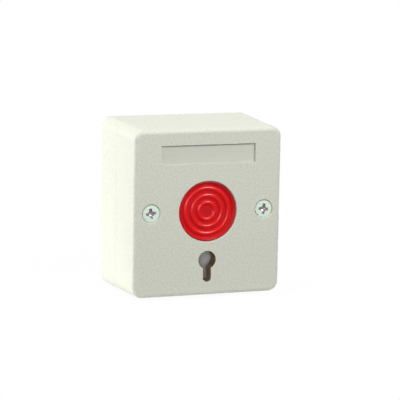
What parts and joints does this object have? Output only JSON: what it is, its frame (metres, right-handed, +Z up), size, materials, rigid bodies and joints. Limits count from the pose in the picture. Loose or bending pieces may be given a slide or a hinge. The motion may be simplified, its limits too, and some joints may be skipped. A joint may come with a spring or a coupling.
{
  "type": "panic button",
  "caption": "Wall-fixed panic button: press-in red button held by a latch slide that a key releases, with a snap switch and wiring terminals in a two-part moulded case.",
  "frame": {"origin": "centre of the case's footprint, at the level of its lowest edge", "axes": "+Z up, +Y into the wall, -Y out of the front face, +X to the right as seen from the front"},
  "size_m": [0.0556, 0.0336, 0.06],
  "materials": {
    "ivory_abs": "fine spark-eroded grain, moulded",
    "red_abs": "moulded, satin gloss",
    "zinc_plated_steel": "bright zinc plate",
    "slide_steel": "stamped and dull zinc plated",
    "spring_steel": "drawn wire and rolled strip",
    "brass": "turned and stamped",
    "contact_bronze": "rolled strip",
    "grey_nylon": "moulded",
    "black_phenolic": "moulded",
    "white_acetal": "moulded",
    "board_laminate": "glass-epoxy board with solder mask",
    "green_polyamide": "moulded"
  },
  "bodies": {
    "case": {"front_cover": "ivory_abs", "back_box": "ivory_abs", "cover_screws": "zinc_plated_steel", "screw_inserts": "brass", "return_spring": "spring_steel", "chassis": "grey_nylon", "chassis_screws": "zinc_plated_steel", "latch_spring": "spring_steel", "switch_case": "black_phenolic", "switch_base": "black_phenolic", "switch_pivot": "spring_steel", "snap_blade": "contact_bronze", "common_terminal": "brass", "open_terminal": "brass", "closed_terminal": "brass", "contact_board": "board_laminate", "board_screws": "zinc_plated_steel", "terminal_housing": "green_polyamide", "terminal_clamps": "brass", "terminal_screws": "zinc_plated_steel", "terminal_pins": "brass"},
    "button": {"push_button": "red_abs"},
    "slide": {"latch_slide": "slide_steel"},
    "lever": {"switch_lever": "spring_steel"},
    "plunger": {"switch_plunger": "white_acetal"}
  },
  "joints": [
    {"name": "button_press", "type": "slide", "parent": "case", "child": "button", "axis": [0, 1, 0], "range_m": [0, 0.0035], "stiffness_N_per_m": 320, "springref_m": -0.003, "deforming": ["return_spring"]},
    {"name": "key_release", "type": "slide", "parent": "case", "child": "slide", "axis": [1, 0, 0], "range_m": [-0.002, 0], "stiffness_N_per_m": 300, "springref_m": 0.002, "deforming": ["latch_spring"]},
    {"name": "lever_swing", "type": "hinge", "parent": "case", "child": "lever", "pos_m": [-0.013, 0.0045, 0.0303], "axis": [0, 0, 1], "range_deg": [0, 15]},
    {"name": "plunger_travel", "type": "slide", "parent": "case", "child": "plunger", "axis": [0, 1, 0], "range_m": [0, 0.0011], "deforming": ["snap_blade"]}
  ],
  "couplings": [
    {"joint": "lever_swing", "follows": "button_press", "rad_per_m": 73.94},
    {"joint": "plunger_travel", "follows": "button_press", "ratio": 0.30783}
  ]
}
